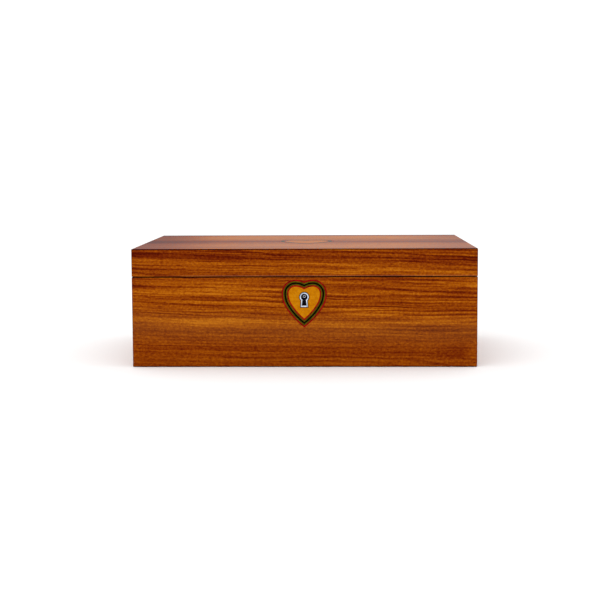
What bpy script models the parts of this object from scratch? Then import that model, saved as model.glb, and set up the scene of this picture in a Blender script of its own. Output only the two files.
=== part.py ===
"""Musical jewelry box: a veneered wooden box with a hinged, locking lid and two inlaid hearts.

Metres, +Z up. The origin is the middle of the underside and the front, with the keyhole, faces -Y.
The ten boards are mitred to each other, so their joints show only along the outer edges of the box.
"""

import math

import bmesh
import bpy
from mathutils import Matrix, Vector

# Outside of the box
WIDTH = 0.292
DEPTH = 0.190
BODY_HEIGHT = 0.0765
LID_GAP = 0.0004
LID_HEIGHT = 0.0236

# Boards
BOARD = 0.008
FLOOR_THICKNESS = 0.005
EDGE_ROUND = 0.0008
EDGE_SEGMENTS = 3
JOINT_EDGE_ROUND = 0.0004
GLUE_GAP = 0.0003

# Hearts: the line that the sizes give is the middle of the black string
LOBE_RADIUS = 0.0087
LOBE_OFFSET = 0.0074
SHOULDER_RADIUS = 0.0149
UPPER_SIDE_RADIUS = 0.0195
UPPER_SIDE_ANGLE = math.radians(30)
LOWER_SIDE_RADIUS = 0.0510
POINT_HALF_ANGLE = math.radians(49)
BANDING_WIDTH = 0.00585
INLAY_THICKNESS = 0.0015
FRONT_HEART_DROP = 0.0139
LID_HEART_SCALE = 1.40
LID_HEART_Y = 0.0030
SHOULDER_STEPS = 5
LOBE_STEPS = 9
SIDE_STEPS = 4

# Keyhole and its metal surround: head radius, half widths of the skirt, and the depth of its foot
KEYHOLE_DROP = 0.0169
KEYHOLE = {"head": 0.00250, "neck": 0.00120, "foot": 0.00180, "drop": 0.0070}
SURROUND = {"head": 0.00405, "neck": 0.00280, "foot": 0.00325, "drop": 0.0087}
SURROUND_PROUD = 0.0004
SURROUND_CHAMFER = 0.0003
HEAD_STEPS = 16

# Lock, let into the inner side of the front wall
LOCK_PLATE_WIDTH = 0.034
LOCK_PLATE_HEIGHT = 0.030
LOCK_PLATE_THICKNESS = 0.0012
LOCK_CASE_WIDTH = 0.024
LOCK_CASE_HEIGHT = 0.026
LOCK_CASE_THICKNESS = 0.0033
SELVEDGE_DEPTH = 0.0055
KEY_PIN_RADIUS = 0.00130
KEY_PIN_BORE_RADIUS = 0.0006
KEY_PIN_BORE_DEPTH = 0.0010
KEY_PIN_SET_BACK = 0.0050
STRIKE_SLOT_WIDTH = 0.010
STRIKE_SLOT_DEPTH = 0.0025

# Hinges
HINGE_X = 0.090
HINGE_LENGTH = 0.030
HINGE_LEAF_WIDTH = 0.0066
HINGE_LEAF_THICKNESS = 0.0010
HINGE_AXIS_BEHIND = 0.0023
KNUCKLE_RADIUS = 0.0020
KNUCKLE_COUNT = 5
KNUCKLE_BORE_RADIUS = 0.0010
HINGE_PIN_RADIUS = 0.0008
ROUND_SIDES = 24

# Longer than any cut is deep
THROUGH = 0.030

# Heights and faces that several pieces share
RIM = BODY_HEIGHT
LID_BOTTOM = BODY_HEIGHT + LID_GAP
TOP = LID_BOTTOM + LID_HEIGHT
FRONT = -DEPTH / 2
BACK = DEPTH / 2
FRONT_INNER = FRONT + BOARD
KEYHOLE_Z = RIM - KEYHOLE_DROP
FRONT_HEART_Z = RIM - FRONT_HEART_DROP
HINGE_Y = BACK + HINGE_AXIS_BEHIND
HINGE_Z = RIM + LID_GAP / 2

# Turns a flat drawing's X and Y into the box's X and Z, with the drawing's face towards the front
UPRIGHT = Matrix.Rotation(math.pi / 2, 4, "X")


def clear_scene():
    for obj in list(bpy.data.objects):
        bpy.data.objects.remove(obj, do_unlink=True)


def new_collection(name, shown=True):
    collection = bpy.data.collections.new(name)
    bpy.context.scene.collection.children.link(collection)
    collection.hide_render = not shown
    return collection


def material(name, colour, roughness, metallic=0.0):
    made = bpy.data.materials.new(name)
    made.use_nodes = True
    shader = made.node_tree.nodes["Principled BSDF"]
    shader.inputs["Base Color"].default_value = (*colour, 1.0)
    shader.inputs["Roughness"].default_value = roughness
    shader.inputs["Metallic"].default_value = metallic
    made.diffuse_color = (*colour, 1.0)
    return made


clear_scene()
BOX = new_collection("musical_jewelry_box")
CUTTERS = new_collection("cutters", shown=False)

VENEER = material("lacquered_veneer", (0.30, 0.075, 0.006), 0.28)
INSIDE_WOOD = material("inside_wood", (0.22, 0.07, 0.02), 0.5)
GOLDEN_VENEER = material("golden_veneer", (0.53, 0.17, 0.006), 0.28)
DYED_BANDING = material("dyed_banding", (0.03, 0.012, 0.004), 0.28)
SILVERED_METAL = material("silvered_metal", (0.72, 0.75, 0.80), 0.25, 1.0)
DARK_STEEL = material("dark_steel", (0.10, 0.10, 0.12), 0.4, 1.0)
BRASS = material("brass", (0.75, 0.50, 0.17), 0.3, 1.0)


def face_outwards(shape):
    """Turns every face of a closed shape outwards."""
    bmesh.ops.recalc_face_normals(shape, faces=shape.faces)
    if shape.calc_volume(signed=True) < 0:
        bmesh.ops.reverse_faces(shape, faces=shape.faces)


def as_object(name, shape, finish=None):
    """Makes a bmesh an object of the box or, without a finish, a cutter."""
    face_outwards(shape)
    mesh = bpy.data.meshes.new(name)
    shape.to_mesh(mesh)
    shape.free()
    obj = bpy.data.objects.new(name, mesh)
    if finish:
        mesh.materials.append(finish)
        mesh.shade_smooth()
        mesh.set_sharp_from_angle(angle=math.radians(25))
        BOX.objects.link(obj)
    else:
        obj.hide_render = True
        obj.display_type = "WIRE"
        CUTTERS.objects.link(obj)
    return obj


def apply_boolean(obj, other, operation):
    modifier = obj.modifiers.new(f"{operation.lower()}_{other.name}", "BOOLEAN")
    modifier.operation = operation
    modifier.object = other
    modifier.solver = "EXACT"


def block(low, high):
    """A box between two corners."""
    low, high = Vector(low), Vector(high)
    shape = bmesh.new()
    bmesh.ops.create_cube(shape, size=1.0)
    bmesh.ops.scale(shape, vec=high - low, verts=shape.verts)
    bmesh.ops.translate(shape, vec=(low + high) / 2, verts=shape.verts)
    return shape


def grown(low, high, by):
    """The corners of a box that is larger by the same amount all round."""
    step = Vector((by, by, by))
    return Vector(low) - step, Vector(high) + step


def rod(radius, start_x, end_x, y, z):
    """A round bar along X."""
    shape = bmesh.new()
    turn = Matrix.Rotation(math.pi / 2, 4, "Y")
    bmesh.ops.create_cone(
        shape, cap_ends=True, segments=ROUND_SIDES, radius1=radius, radius2=radius,
        depth=end_x - start_x, matrix=Matrix.Translation(((start_x + end_x) / 2, y, z)) @ turn,
    )
    return shape


def round_edges(shape, edges, offset, segments):
    bmesh.ops.bevel(
        shape, geom=edges, offset=offset, segments=segments, profile=0.5, affect="EDGES", material=-1,
    )


def is_at_joint(edge):
    """Whether an edge lies where the lid meets the body."""
    heights = [vert.co.z for vert in edge.verts]
    return any(all(abs(height - joint) < 1e-6 for height in heights) for joint in (RIM, LID_BOTTOM))


def round_show_face(shape, outward):
    """Rounds the edges of the face that looks outwards, and only eases the one at the lid's joint."""
    show_face = max(shape.faces, key=lambda face: face.normal.dot(outward))
    outer_edges = [edge for edge in show_face.edges if not is_at_joint(edge)]
    round_edges(shape, outer_edges, EDGE_ROUND, EDGE_SEGMENTS)
    shape.normal_update()
    joint_edges = [
        edge for edge in shape.edges
        if is_at_joint(edge) and any(face.normal.dot(outward) > 0.1 for face in edge.link_faces)
    ]
    if joint_edges:
        round_edges(shape, joint_edges, JOINT_EDGE_ROUND, 1)


def trim(shape, point, normal):
    """Cuts away what lies beyond a plane and closes the cut."""
    cut = bmesh.ops.bisect_plane(
        shape, geom=shape.verts[:] + shape.edges[:] + shape.faces[:],
        plane_co=point, plane_no=normal, clear_outer=True,
    )
    rim = [item for item in cut["geom_cut"] if isinstance(item, bmesh.types.BMEdge)]
    bmesh.ops.edgeloop_fill(shape, edges=rim)


def mitre(shape, corner, outward, neighbour):
    """Cuts the 45 degree face between a board, which looks outward, and its neighbour."""
    normal = (Vector(neighbour) - Vector(outward)).normalized()
    trim(shape, Vector(corner) - normal * GLUE_GAP / 2, normal)


def board(name, low, high, outward, neighbours, finish=VENEER):
    """One board of the case: rounded on its show face and mitred to each neighbouring board."""
    outward = Vector(outward)
    shape = block(low, high)
    round_show_face(shape, outward)
    middle = (Vector(low) + Vector(high)) / 2
    reach = (Vector(high) - Vector(low)) / 2
    for neighbour in map(Vector, neighbours):
        edge = [middle[i] + reach[i] * (outward[i] + neighbour[i]) for i in range(3)]
        mitre(shape, edge, outward, neighbour)
    return as_object(name, shape, finish)


def mirrored(right_half):
    """A closed outline from its right half, which runs from the top to the bottom."""
    left_half = [(-x, y) for x, y in reversed(right_half) if x > 1e-6]
    return right_half + left_half


def arc(centre, radius, start, end, steps):
    """Points on a round stretch, with angles in radians."""
    angles = [start + (end - start) * i / steps for i in range(steps + 1)]
    return [(centre[0] + radius * math.cos(a), centre[1] + radius * math.sin(a)) for a in angles]


def heart_outline(scale, offset):
    """A heart with its point down, about the level of its widest place, drawn offset outwards.

    From the notch, each half is a flat shoulder, a round lobe, a side that gets flatter downwards and a
    straight run to the point.
    """
    shoulder, lobe = SHOULDER_RADIUS * scale, LOBE_RADIUS * scale
    upper, lower = UPPER_SIDE_RADIUS * scale, LOWER_SIDE_RADIUS * scale
    lobe_x = LOBE_OFFSET * scale
    upper_x = lobe_x + lobe - upper
    lower_x = upper_x - (lower - upper) * math.cos(UPPER_SIDE_ANGLE)
    lower_y = (lower - upper) * math.sin(UPPER_SIDE_ANGLE)
    notch_angle = math.acos(-lobe_x / (shoulder + offset))
    half = arc((lobe_x, lobe - shoulder), shoulder + offset, notch_angle, math.pi / 2, SHOULDER_STEPS)
    half[0] = (0, half[0][1])
    half += arc((lobe_x, 0), lobe + offset, math.pi / 2, 0, LOBE_STEPS)[1:]
    half += arc((upper_x, 0), upper + offset, 0, -UPPER_SIDE_ANGLE, SIDE_STEPS)[1:]
    half += arc((lower_x, lower_y), lower + offset, -UPPER_SIDE_ANGLE, -POINT_HALF_ANGLE, SIDE_STEPS)[1:]
    last_x, last_y = half[-1]
    half.append((0, last_y - last_x / math.tan(POINT_HALF_ANGLE)))
    return mirrored(half)


def keyhole_outline(sizes, offset=0.0):
    """A keyhole about the middle of its round head: the head above, and a skirt that widens to a flat foot."""
    head, neck = sizes["head"] + offset, sizes["neck"] + offset
    foot, drop = sizes["foot"] + offset, sizes["drop"] + offset
    half = arc((0, 0), head, math.pi / 2, -math.acos(neck / head), HEAD_STEPS)
    half[0] = (0, head)
    half.append((foot, -drop))
    return mirrored(half)


def plate(name, outlines, thickness, place, finish=None):
    """A flat piece of closed outlines, the inner ones cut out, with its face at the place's own Z of 0."""
    drawing = bpy.data.curves.new(name + "_drawing", "CURVE")
    drawing.dimensions = "2D"
    drawing.fill_mode = "BOTH"
    drawing.extrude = thickness / 2
    for outline in outlines:
        spline = drawing.splines.new("POLY")
        spline.points.add(len(outline) - 1)
        for point, (x, y) in zip(spline.points, outline):
            point.co = (x, y, 0, 1)
        spline.use_cyclic_u = True
    drawn = bpy.data.objects.new(name + "_drawing", drawing)
    BOX.objects.link(drawn)
    graph = bpy.context.evaluated_depsgraph_get()
    shape = bmesh.new()
    flat = bpy.data.meshes.new_from_object(drawn.evaluated_get(graph))
    shape.from_mesh(flat)
    bpy.data.objects.remove(drawn)
    bmesh.ops.remove_doubles(shape, verts=shape.verts, dist=1e-6)
    bmesh.ops.translate(shape, vec=(0, 0, -thickness / 2), verts=shape.verts)
    shape.transform(place)
    return as_object(name, shape, finish)


def front_place(z, proud=0.0):
    """The frame of a flat piece on the front wall, with its face proud of the wall."""
    return Matrix.Translation((0, FRONT - proud, z)) @ UPRIGHT


def lid_place():
    """The frame of a flat piece on the lid: its point is towards the front of the box."""
    return Matrix.Translation((0, LID_HEART_Y, TOP))


def body_walls():
    """The four mitred walls, each with its show face outside."""
    half_x, half_y = WIDTH / 2, DEPTH / 2
    ends, sides = [(-1, 0, 0), (1, 0, 0)], [(0, -1, 0), (0, 1, 0)]
    front = board("body_front_wall", (-half_x, FRONT, 0), (half_x, FRONT_INNER, RIM), (0, -1, 0), ends)
    back = board("body_back_wall", (-half_x, half_y - BOARD, 0), (half_x, half_y, RIM), (0, 1, 0), ends)
    board("body_left_wall", (-half_x, -half_y, 0), (-half_x + BOARD, half_y, RIM), (-1, 0, 0), sides)
    board("body_right_wall", (half_x - BOARD, -half_y, 0), (half_x, half_y, RIM), (1, 0, 0), sides)
    return front, back


def body_floor():
    """The bottom board, between the walls and flush with their undersides."""
    half_x = WIDTH / 2 - BOARD - GLUE_GAP
    half_y = DEPTH / 2 - BOARD - GLUE_GAP
    shape = block((-half_x, -half_y, 0), (half_x, half_y, FLOOR_THICKNESS))
    as_object("body_floor", shape, INSIDE_WOOD)


def lid_boards():
    """Four rails and the top panel, mitred to each other along every edge that they share."""
    half_x, half_y = WIDTH / 2, DEPTH / 2
    up, left, right = (0, 0, 1), (-1, 0, 0), (1, 0, 0)
    to_front, to_back = (0, -1, 0), (0, 1, 0)
    low, high = LID_BOTTOM, TOP
    front = board("lid_front_rail", (-half_x, FRONT, low), (half_x, FRONT_INNER, high),
                  to_front, [left, right, up])
    back = board("lid_back_rail", (-half_x, half_y - BOARD, low), (half_x, half_y, high),
                 to_back, [left, right, up])
    board("lid_left_rail", (-half_x, -half_y, low), (-half_x + BOARD, half_y, high),
          left, [to_front, to_back, up])
    board("lid_right_rail", (half_x - BOARD, -half_y, low), (half_x, half_y, high),
          right, [to_front, to_back, up])
    top = board("lid_top_panel", (-half_x, -half_y, high - BOARD), (half_x, half_y, high),
                up, [left, right, to_front, to_back])
    return front, back, top


def inlaid_heart(prefix, ground, scale, place, hole=None):
    """A heart let flush into a board: a banding of dyed strings round a golden field."""
    half_band = BANDING_WIDTH / 2
    pocket = plate(prefix + "_pocket", [heart_outline(scale, half_band + GLUE_GAP)],
                   2 * (INLAY_THICKNESS + GLUE_GAP),
                   place @ Matrix.Translation((0, 0, INLAY_THICKNESS + GLUE_GAP)))
    apply_boolean(ground, pocket, "DIFFERENCE")
    band = [heart_outline(scale, half_band), heart_outline(scale, -half_band)]
    plate(prefix + "_banding", band, INLAY_THICKNESS, place, DYED_BANDING)
    field = [heart_outline(scale, -half_band - GLUE_GAP)]
    if hole:
        field.append(hole)
    plate(prefix + "_field", field, INLAY_THICKNESS, place, GOLDEN_VENEER)


def front_heart(front_wall):
    """The heart on the front, its field cut out for the keyhole's metal surround."""
    lower = KEYHOLE_Z - FRONT_HEART_Z
    hole = [(x, y + lower) for x, y in keyhole_outline(SURROUND, GLUE_GAP)]
    inlaid_heart("front_heart", front_wall, 1.0, front_place(FRONT_HEART_Z), hole)


def keyhole_surround():
    """The metal ring in the keyhole's shape, a little proud of the heart, its front edges chamfered."""
    ring = plate("keyhole_surround", [keyhole_outline(SURROUND), keyhole_outline(KEYHOLE)],
                 INLAY_THICKNESS + SURROUND_PROUD, front_place(KEYHOLE_Z, SURROUND_PROUD), SILVERED_METAL)
    face_y = FRONT - SURROUND_PROUD
    shape = bmesh.new()
    shape.from_mesh(ring.data)
    bmesh.ops.dissolve_limit(shape, angle_limit=math.radians(1), verts=shape.verts, edges=shape.edges)
    front_edges = [
        edge for edge in shape.edges
        if all(abs(v.co.y - face_y) < 1e-6 for v in edge.verts)
        and any(abs(face.normal.y) < 0.5 for face in edge.link_faces)
    ]
    round_edges(shape, front_edges, SURROUND_CHAMFER, 1)
    shape.to_mesh(ring.data)
    shape.free()


def lock_boxes():
    """The corners of the lock's plate, case and selvedge, each reaching a little into the next."""
    overlap = LOCK_PLATE_THICKNESS / 2
    plate_y = FRONT_INNER - LOCK_PLATE_THICKNESS
    case_y = plate_y - LOCK_CASE_THICKNESS
    return {
        "plate": ((-LOCK_PLATE_WIDTH / 2, plate_y, RIM - LOCK_PLATE_HEIGHT),
                  (LOCK_PLATE_WIDTH / 2, FRONT_INNER, RIM)),
        "case": ((-LOCK_CASE_WIDTH / 2, case_y, RIM - LOCK_CASE_HEIGHT),
                 (LOCK_CASE_WIDTH / 2, plate_y + overlap, RIM - overlap)),
        "selvedge": ((-LOCK_PLATE_WIDTH / 2, FRONT_INNER - SELVEDGE_DEPTH, RIM - LOCK_PLATE_THICKNESS),
                     (LOCK_PLATE_WIDTH / 2, FRONT_INNER - overlap, RIM)),
    }


def key_pin():
    """The lock's drill pin, which stands in the keyhole and is bored at its end."""
    pin_front = FRONT - SURROUND_PROUD + KEY_PIN_SET_BACK
    pin_back = FRONT_INNER - LOCK_PLATE_THICKNESS / 2
    shape = bmesh.new()
    length = pin_back - pin_front
    place = Matrix.Translation((0, (pin_front + pin_back) / 2, KEYHOLE_Z)) @ UPRIGHT
    bmesh.ops.create_cone(shape, cap_ends=True, segments=ROUND_SIDES, radius1=KEY_PIN_RADIUS,
                          radius2=KEY_PIN_RADIUS, depth=length, matrix=place)
    end_face = min(shape.faces, key=lambda face: face.calc_center_median().y)
    bmesh.ops.inset_region(shape, faces=[end_face], thickness=KEY_PIN_RADIUS - KEY_PIN_BORE_RADIUS)
    bored = bmesh.ops.extrude_discrete_faces(shape, faces=[end_face])["faces"]
    bmesh.ops.translate(shape, vec=(0, KEY_PIN_BORE_DEPTH, 0), verts=bored[0].verts)
    return shape


def lock(front_wall):
    """The lock, in a pocket of the front wall, with the key's way from the keyhole into its case."""
    boxes = lock_boxes()
    body = as_object("lock", block(*boxes["plate"]), DARK_STEEL)
    for part_name in ("case", "selvedge"):
        piece = as_object("lock_" + part_name, block(*boxes[part_name]))
        apply_boolean(body, piece, "UNION")
    keyway_depth = LOCK_CASE_THICKNESS
    keyway_face = FRONT_INNER - LOCK_PLATE_THICKNESS - LOCK_CASE_THICKNESS
    keyway = plate("lock_keyway", [keyhole_outline(KEYHOLE)], 2 * keyway_depth,
                   Matrix.Translation((0, keyway_face - keyway_depth, KEYHOLE_Z)) @ UPRIGHT)
    apply_boolean(body, keyway, "DIFFERENCE")
    apply_boolean(body, as_object("lock_key_pin", key_pin()), "UNION")
    for part_name, corners in boxes.items():
        low, high = grown(*corners, GLUE_GAP)
        pocket = as_object(f"lock_{part_name}_pocket", block(low, high + Vector((0, THROUGH, THROUGH))))
        apply_boolean(front_wall, pocket, "DIFFERENCE")
    wall_hole = plate("keyhole_in_wall", [keyhole_outline(KEYHOLE)], 2 * THROUGH,
                      Matrix.Translation((0, FRONT - THROUGH, KEYHOLE_Z)) @ UPRIGHT)
    apply_boolean(front_wall, wall_hole, "DIFFERENCE")


def lock_strike(front_rail):
    """The plate under the lid that the lock's bolt catches, with a slot for the bolt."""
    low = Vector((-LOCK_PLATE_WIDTH / 2, FRONT_INNER - SELVEDGE_DEPTH, LID_BOTTOM))
    high = Vector((LOCK_PLATE_WIDTH / 2, FRONT_INNER, LID_BOTTOM + LOCK_PLATE_THICKNESS))
    strike = as_object("lock_strike", block(low, high), DARK_STEEL)
    middle = (low + high) / 2
    slot_half = Vector((STRIKE_SLOT_WIDTH, STRIKE_SLOT_DEPTH, THROUGH)) / 2
    slot = as_object("strike_slot", block(middle - slot_half, middle + slot_half))
    apply_boolean(strike, slot, "DIFFERENCE")
    low, high = grown(low, high, GLUE_GAP)
    pocket = as_object("strike_pocket", block(low - Vector((0, 0, THROUGH)), high + Vector((0, THROUGH, 0))))
    apply_boolean(front_rail, pocket, "DIFFERENCE")


def hinge_leaf(name, centre_x, leaf_low_z, knuckles):
    """One leaf of a butt hinge: a plate let into a board's edge, and its own knuckles round the pin."""
    start_x = centre_x - HINGE_LENGTH / 2
    knuckle_length = HINGE_LENGTH / KNUCKLE_COUNT
    leaf_high_z = leaf_low_z + HINGE_LEAF_THICKNESS
    inner_y = BACK - HINGE_LEAF_WIDTH
    leaf = as_object(name, block((start_x, inner_y, leaf_low_z),
                                 (start_x + HINGE_LENGTH, BACK, leaf_high_z)), BRASS)
    for number in knuckles:
        low_x = start_x + number * knuckle_length + GLUE_GAP / 2
        high_x = start_x + (number + 1) * knuckle_length - GLUE_GAP / 2
        tab = block((low_x, BACK - HINGE_LEAF_THICKNESS, leaf_low_z), (high_x, HINGE_Y, leaf_high_z))
        knuckle = rod(KNUCKLE_RADIUS, low_x, high_x, HINGE_Y, HINGE_Z)
        apply_boolean(leaf, as_object(f"{name}_tab_{number}", tab), "UNION")
        apply_boolean(leaf, as_object(f"{name}_knuckle_{number}", knuckle), "UNION")
    bore = rod(KNUCKLE_BORE_RADIUS, start_x - GLUE_GAP, start_x + HINGE_LENGTH + GLUE_GAP, HINGE_Y, HINGE_Z)
    apply_boolean(leaf, as_object(name + "_bore", bore), "DIFFERENCE")


def hinge(side, centre_x, back_wall, back_rail):
    """A butt hinge between the back wall and the lid's back rail, its barrel just behind the box."""
    all_knuckles = range(KNUCKLE_COUNT)
    hinge_leaf(f"hinge_{side}_body_leaf", centre_x, RIM - HINGE_LEAF_THICKNESS, all_knuckles[0::2])
    hinge_leaf(f"hinge_{side}_lid_leaf", centre_x, LID_BOTTOM, all_knuckles[1::2])
    start_x, end_x = centre_x - HINGE_LENGTH / 2, centre_x + HINGE_LENGTH / 2
    as_object(f"hinge_{side}_pin", rod(HINGE_PIN_RADIUS, start_x, end_x, HINGE_Y, HINGE_Z), BRASS)
    inner_y = BACK - HINGE_LEAF_WIDTH - GLUE_GAP
    depth = HINGE_LEAF_THICKNESS + GLUE_GAP
    for board_object, low_z, high_z in (
        (back_wall, RIM - depth, RIM + LID_GAP / 2),
        (back_rail, LID_BOTTOM - LID_GAP / 2, LID_BOTTOM + depth),
    ):
        seat = block((start_x - GLUE_GAP, inner_y, low_z), (end_x + GLUE_GAP, BACK + THROUGH, high_z))
        seat_object = as_object(f"hinge_{side}_seat_{board_object.name}", seat)
        apply_boolean(board_object, seat_object, "DIFFERENCE")


def jewelry_box():
    front_wall, back_wall = body_walls()
    body_floor()
    front_rail, back_rail, top_panel = lid_boards()
    front_heart(front_wall)
    keyhole_surround()
    lock(front_wall)
    lock_strike(front_rail)
    inlaid_heart("lid_heart", top_panel, LID_HEART_SCALE, lid_place())
    for side, centre_x in (("left", -HINGE_X), ("right", HINGE_X)):
        hinge(side, centre_x, back_wall, back_rail)


jewelry_box()
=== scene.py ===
import math

import bmesh
import bpy
from mathutils import Matrix, Vector


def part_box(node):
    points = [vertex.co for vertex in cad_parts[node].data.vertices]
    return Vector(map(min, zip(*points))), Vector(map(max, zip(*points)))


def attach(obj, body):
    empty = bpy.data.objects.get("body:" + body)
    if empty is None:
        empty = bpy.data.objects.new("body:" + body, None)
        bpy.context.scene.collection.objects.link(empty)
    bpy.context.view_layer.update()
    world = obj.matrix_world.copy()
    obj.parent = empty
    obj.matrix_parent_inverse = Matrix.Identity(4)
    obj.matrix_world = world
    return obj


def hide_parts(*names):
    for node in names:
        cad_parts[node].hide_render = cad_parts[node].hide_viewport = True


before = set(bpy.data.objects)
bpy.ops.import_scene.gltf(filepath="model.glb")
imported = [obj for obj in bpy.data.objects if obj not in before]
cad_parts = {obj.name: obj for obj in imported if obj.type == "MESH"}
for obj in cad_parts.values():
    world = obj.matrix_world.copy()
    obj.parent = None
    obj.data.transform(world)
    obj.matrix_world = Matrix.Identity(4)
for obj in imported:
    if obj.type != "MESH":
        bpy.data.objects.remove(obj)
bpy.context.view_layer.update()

# Faces of the box, read from the frame
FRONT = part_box("body_front_wall")[0].y
FRONT_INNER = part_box("body_front_wall")[1].y
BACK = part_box("body_back_wall")[1].y
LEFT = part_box("body_left_wall")[0].x
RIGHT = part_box("body_right_wall")[1].x
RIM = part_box("body_front_wall")[1].z
LID_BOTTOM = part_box("lid_front_rail")[0].z
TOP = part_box("lid_top_panel")[1].z
JOINT_Z = (RIM + LID_BOTTOM) / 2

# Boards
BOARD = 0.008
EDGE_ROUND = 0.0008
EDGE_SEGMENTS = 6
SMALL_EDGE_ROUND = 0.0004
SMALL_EDGE_SEGMENTS = 3
MITRE_GAP = 0.00006

# Hearts: the line that the sizes give is the middle of the banding
HEART = {"shoulder": 0.0149, "lobe": 0.0087, "upper_side": 0.0195, "lower_side": 0.0510, "lobe_x": 0.0074}
UPPER_SIDE_ANGLE = math.radians(30)
POINT_HALF_ANGLE = math.radians(49)
BANDING_WIDTH = 0.00585
FRONT_HEART_Z = RIM - 0.0139
FRONT_HEART_SCALE = 1.0
LID_HEART_Y = 0.0030
LID_HEART_SCALE = 1.40
INLAY_THICKNESS = 0.0015
GLUE_LINE = 0.00010
STRING_GAP = 0.00002

# Keyhole and its surround: head radius, half widths at the neck and the foot, and the depth of the foot
KEYHOLE_Z = RIM - 0.0169
KEYHOLE = {"head": 0.00250, "neck": 0.00120, "foot": 0.00180, "drop": 0.0070}
SURROUND = {"head": 0.00405, "neck": 0.00280, "foot": 0.00325, "drop": 0.0087}
SURROUND_PROUD = 0.0004
SURROUND_ROUND = 0.00030
SURROUND_GAP = 0.0004
BRIGHT_DEPTH = 0.000005

# Lock, let into the inner side of the front wall, and the strike above it
LOCK_PLATE_WIDTH = 0.034
LOCK_PLATE_HEIGHT = 0.030
LOCK_PLATE_THICKNESS = 0.0012
LOCK_CASE_WIDTH = 0.024
LOCK_CASE_HEIGHT = 0.026
LOCK_CASE_THICKNESS = 0.0033
SELVEDGE_DEPTH = 0.0055
SELVEDGE_EDGE_Y = FRONT_INNER - SELVEDGE_DEPTH
BOLT_Y = (SELVEDGE_EDGE_Y + FRONT_INNER) / 2
BOLT_WIDTH = 0.010
BOLT_THICKNESS = 0.0025
BOLT_GAP = 0.0002
BOLT_SET_BACK = 0.0005
BOLT_SLOT_FLOOR = 0.0001
KEYWAY_FLOOR = 0.0005
KEY_PIN_RADIUS = 0.00130
KEY_PIN_BORE_RADIUS = 0.0007
KEY_PIN_BORE_DEPTH = 0.0015
KEY_PIN_SET_BACK = 0.0050
KEY_PIN_CHAMFER = 0.00018
HARDWARE_GAP = 0.00012
HARDWARE_EDGE = 0.00012
HARDWARE_SEGMENTS = 2

# Hinges
HINGE_X = 0.090
HINGE_LENGTH = 0.030
HINGE_LEAF_WIDTH = 0.0066
HINGE_LEAF_THICKNESS = 0.0010
HINGE_Y = BACK + 0.0023
HINGE_Z = JOINT_Z
KNUCKLE_RADIUS = 0.0020
KNUCKLE_COUNT = 5
KNUCKLE_BORE_RADIUS = 0.0010
KNUCKLE_GAP = 0.00015
KNUCKLE_CHAMFER = 0.00015
STRAP_OVERLAP = 0.001
HINGE_PIN_RADIUS = 0.0008

# Screws, and where they sit on the hardware
SCREW_RADIUS = 0.0014
SCREW_DEPTH = 0.0007
SCREW_RIM_DEPTH = 0.00012
SCREW_POINT_SHARE = 0.5
SCREW_SLOT_WIDTH = 0.0004
SCREW_SLOT_DEPTH = 0.0004
SCREW_SEAT_GAP = 0.00008
SCREW_SEAT_FLOOR = 0.0001
FIRST_SLOT_TURN = 0.5
NEXT_SLOT_TURN = 2.1
PLATE_SCREW_FROM_SIDE = 0.004
PLATE_SCREW_FROM_RIM = 0.006
SELVEDGE_SCREW_FROM_END = 0.0045
LEAF_SCREW_STEP = 0.0105
LEAF_SCREW_SHARE = 0.55

# Domes of a screw's head and of a hinge pin's end: shares of the radius, with the depth at each
SCREW_DOME = ((0.0, 0.0), (0.55, 0.00001), (0.9, 0.00004))
PIN_DOME = ((0.0, 0.0), (0.6, 0.00005), (1.0, 0.0002))

# Shaping: how far cutters reach through a board or past a face, the steps of curves, and tolerances
THROUGH = 0.030
PAST_FACE = 0.001
ARC_STEP = math.radians(4)
TURNED_STEPS = 40
PLATE_EDGE_STEPS = 3
SMOOTH_ANGLE = math.radians(30)
FLAT_ANGLE = math.radians(0.5)
OUTWARD_SHARE = 0.05
SAME_DEPTH = 1e-5
SAME_PLACE = 1e-6
SAME_POINT = 1e-7

# Turns a flat drawing's X and Y into the box's X and Z, with the drawing's face towards the front
UPRIGHT = Matrix.Rotation(math.pi / 2, 4, "X")

# Room: one large soft lamp, the even light all round, and a pale floor just under the box
LAMP_PLACE = (-0.35, -1.1, 1.3)
LAMP_AIM = (0, 0, 0.05)
LAMP_SIZE = 1.2
LAMP_POWER = 4
ROOM_BRIGHTNESS = 1.15
FLOOR_RADIUS = 30.0
FLOOR_SIDES = 64
FLOOR_DROP = 0.0002
FLOOR_TONE = 0.95

# Strength of the room's light on the front, where plain white is 1
LIGHT_ON_FRONT = 1.25

# Camera: its picture, lens and optical axis in pixels, its sensor in millimetres, and its place
PICTURE_SIDE = 610
LENS_LENGTH = 1176.30
AXIS_ROW = 265
SENSOR_WIDTH = 36.0
CAMERA_PLACE = (0.0246, -1.0811, 0.1712)
CAMERA_YAW = math.radians(1.3835)
CAMERA_PITCH = math.radians(-4.8969)
CAMERA_ROLL = math.radians(-0.2567)


def srgb(red, green, blue, light=1.0):
    """A shader's linear colour from a colour of 0 to 255, seen under light of the given strength."""
    def linear(value):
        value /= 255
        return value / 12.92 if value <= 0.04045 else ((value + 0.055) / 1.055) ** 2.4
    return (linear(red) / light, linear(green) / light, linear(blue) / light, 1.0)


def seen(red, green, blue):
    """The colour of a finish from how it looks on the front of the box."""
    return srgb(red, green, blue, LIGHT_ON_FRONT)


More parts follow.
